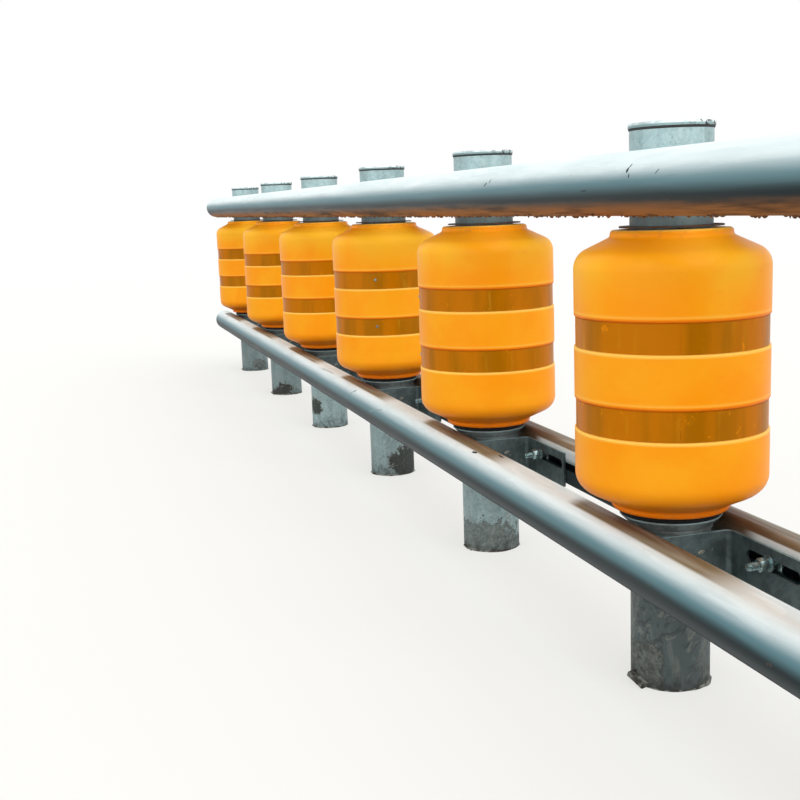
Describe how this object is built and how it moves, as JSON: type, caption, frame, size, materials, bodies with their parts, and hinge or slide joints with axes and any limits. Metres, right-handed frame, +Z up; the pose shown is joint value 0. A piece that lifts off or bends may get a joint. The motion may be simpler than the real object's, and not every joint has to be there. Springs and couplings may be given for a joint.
{
  "type": "roller guardrail section",
  "caption": "Highway roller guardrail: round posts carrying turning foam rollers with reflective bands, between upper and lower pairs of galvanised rails.",
  "frame": {"origin": "on the ground at the foot of the middle post, on the post's axis", "axes": "+X along the row toward the near end, -Y toward the road, +Z up along the posts"},
  "size_m": [6, 0.345, 0.9802],
  "materials": {
    "galvanised_steel": "hot-dip galvanised, dull with water and cement marks",
    "galvanised_rail": "galvanised rail, satin",
    "dark_plate": "dull dark galvanised plate",
    "orange_foam": "moulded foam with a smooth satin skin",
    "amber_tape": "glossy amber reflective sheeting",
    "black_rubber": "dull black rubber"
  },
  "bodies": {
    "frame": {"post_1": "galvanised_steel", "post_2": "galvanised_steel", "post_3": "galvanised_steel", "post_4": "galvanised_steel", "post_5": "galvanised_steel", "post_6": "galvanised_steel", "post_7": "galvanised_steel", "post_caps": "galvanised_steel", "top_rings": "galvanised_steel", "roller_gaskets": "black_rubber", "support_collars": "dark_plate", "upper_front_rail": "galvanised_rail", "upper_back_rail": "galvanised_rail", "lower_front_rail": "galvanised_rail", "lower_back_rail": "galvanised_rail", "lower_brackets": "dark_plate", "upper_brackets": "dark_plate"},
    "spinner_1": {"roller_1": "orange_foam", "bands_1": "amber_tape"},
    "spinner_2": {"roller_2": "orange_foam", "bands_2": "amber_tape"},
    "spinner_3": {"roller_3": "orange_foam", "bands_3": "amber_tape"},
    "spinner_4": {"roller_4": "orange_foam", "bands_4": "amber_tape"},
    "spinner_5": {"roller_5": "orange_foam", "bands_5": "amber_tape"},
    "spinner_6": {"roller_6": "orange_foam", "bands_6": "amber_tape"},
    "spinner_7": {"roller_7": "orange_foam", "bands_7": "amber_tape"}
  },
  "joints": [
    {"name": "roller_1_spin", "type": "hinge", "parent": "frame", "child": "spinner_1", "pos_m": [2.7, 0, 0.5621], "axis": [0, 0, 1], "continuous": true},
    {"name": "roller_2_spin", "type": "hinge", "parent": "frame", "child": "spinner_2", "pos_m": [1.8, 0, 0.5621], "axis": [0, 0, 1], "continuous": true},
    {"name": "roller_3_spin", "type": "hinge", "parent": "frame", "child": "spinner_3", "pos_m": [0.9, 0, 0.5621], "axis": [0, 0, 1], "continuous": true},
    {"name": "roller_4_spin", "type": "hinge", "parent": "frame", "child": "spinner_4", "pos_m": [0, 0, 0.5621], "axis": [0, 0, 1], "continuous": true},
    {"name": "roller_5_spin", "type": "hinge", "parent": "frame", "child": "spinner_5", "pos_m": [-0.9, 0, 0.5621], "axis": [0, 0, 1], "continuous": true},
    {"name": "roller_6_spin", "type": "hinge", "parent": "frame", "child": "spinner_6", "pos_m": [-1.8, 0, 0.5621], "axis": [0, 0, 1], "continuous": true},
    {"name": "roller_7_spin", "type": "hinge", "parent": "frame", "child": "spinner_7", "pos_m": [-2.7, 0, 0.5621], "axis": [0, 0, 1], "continuous": true}
  ]
}
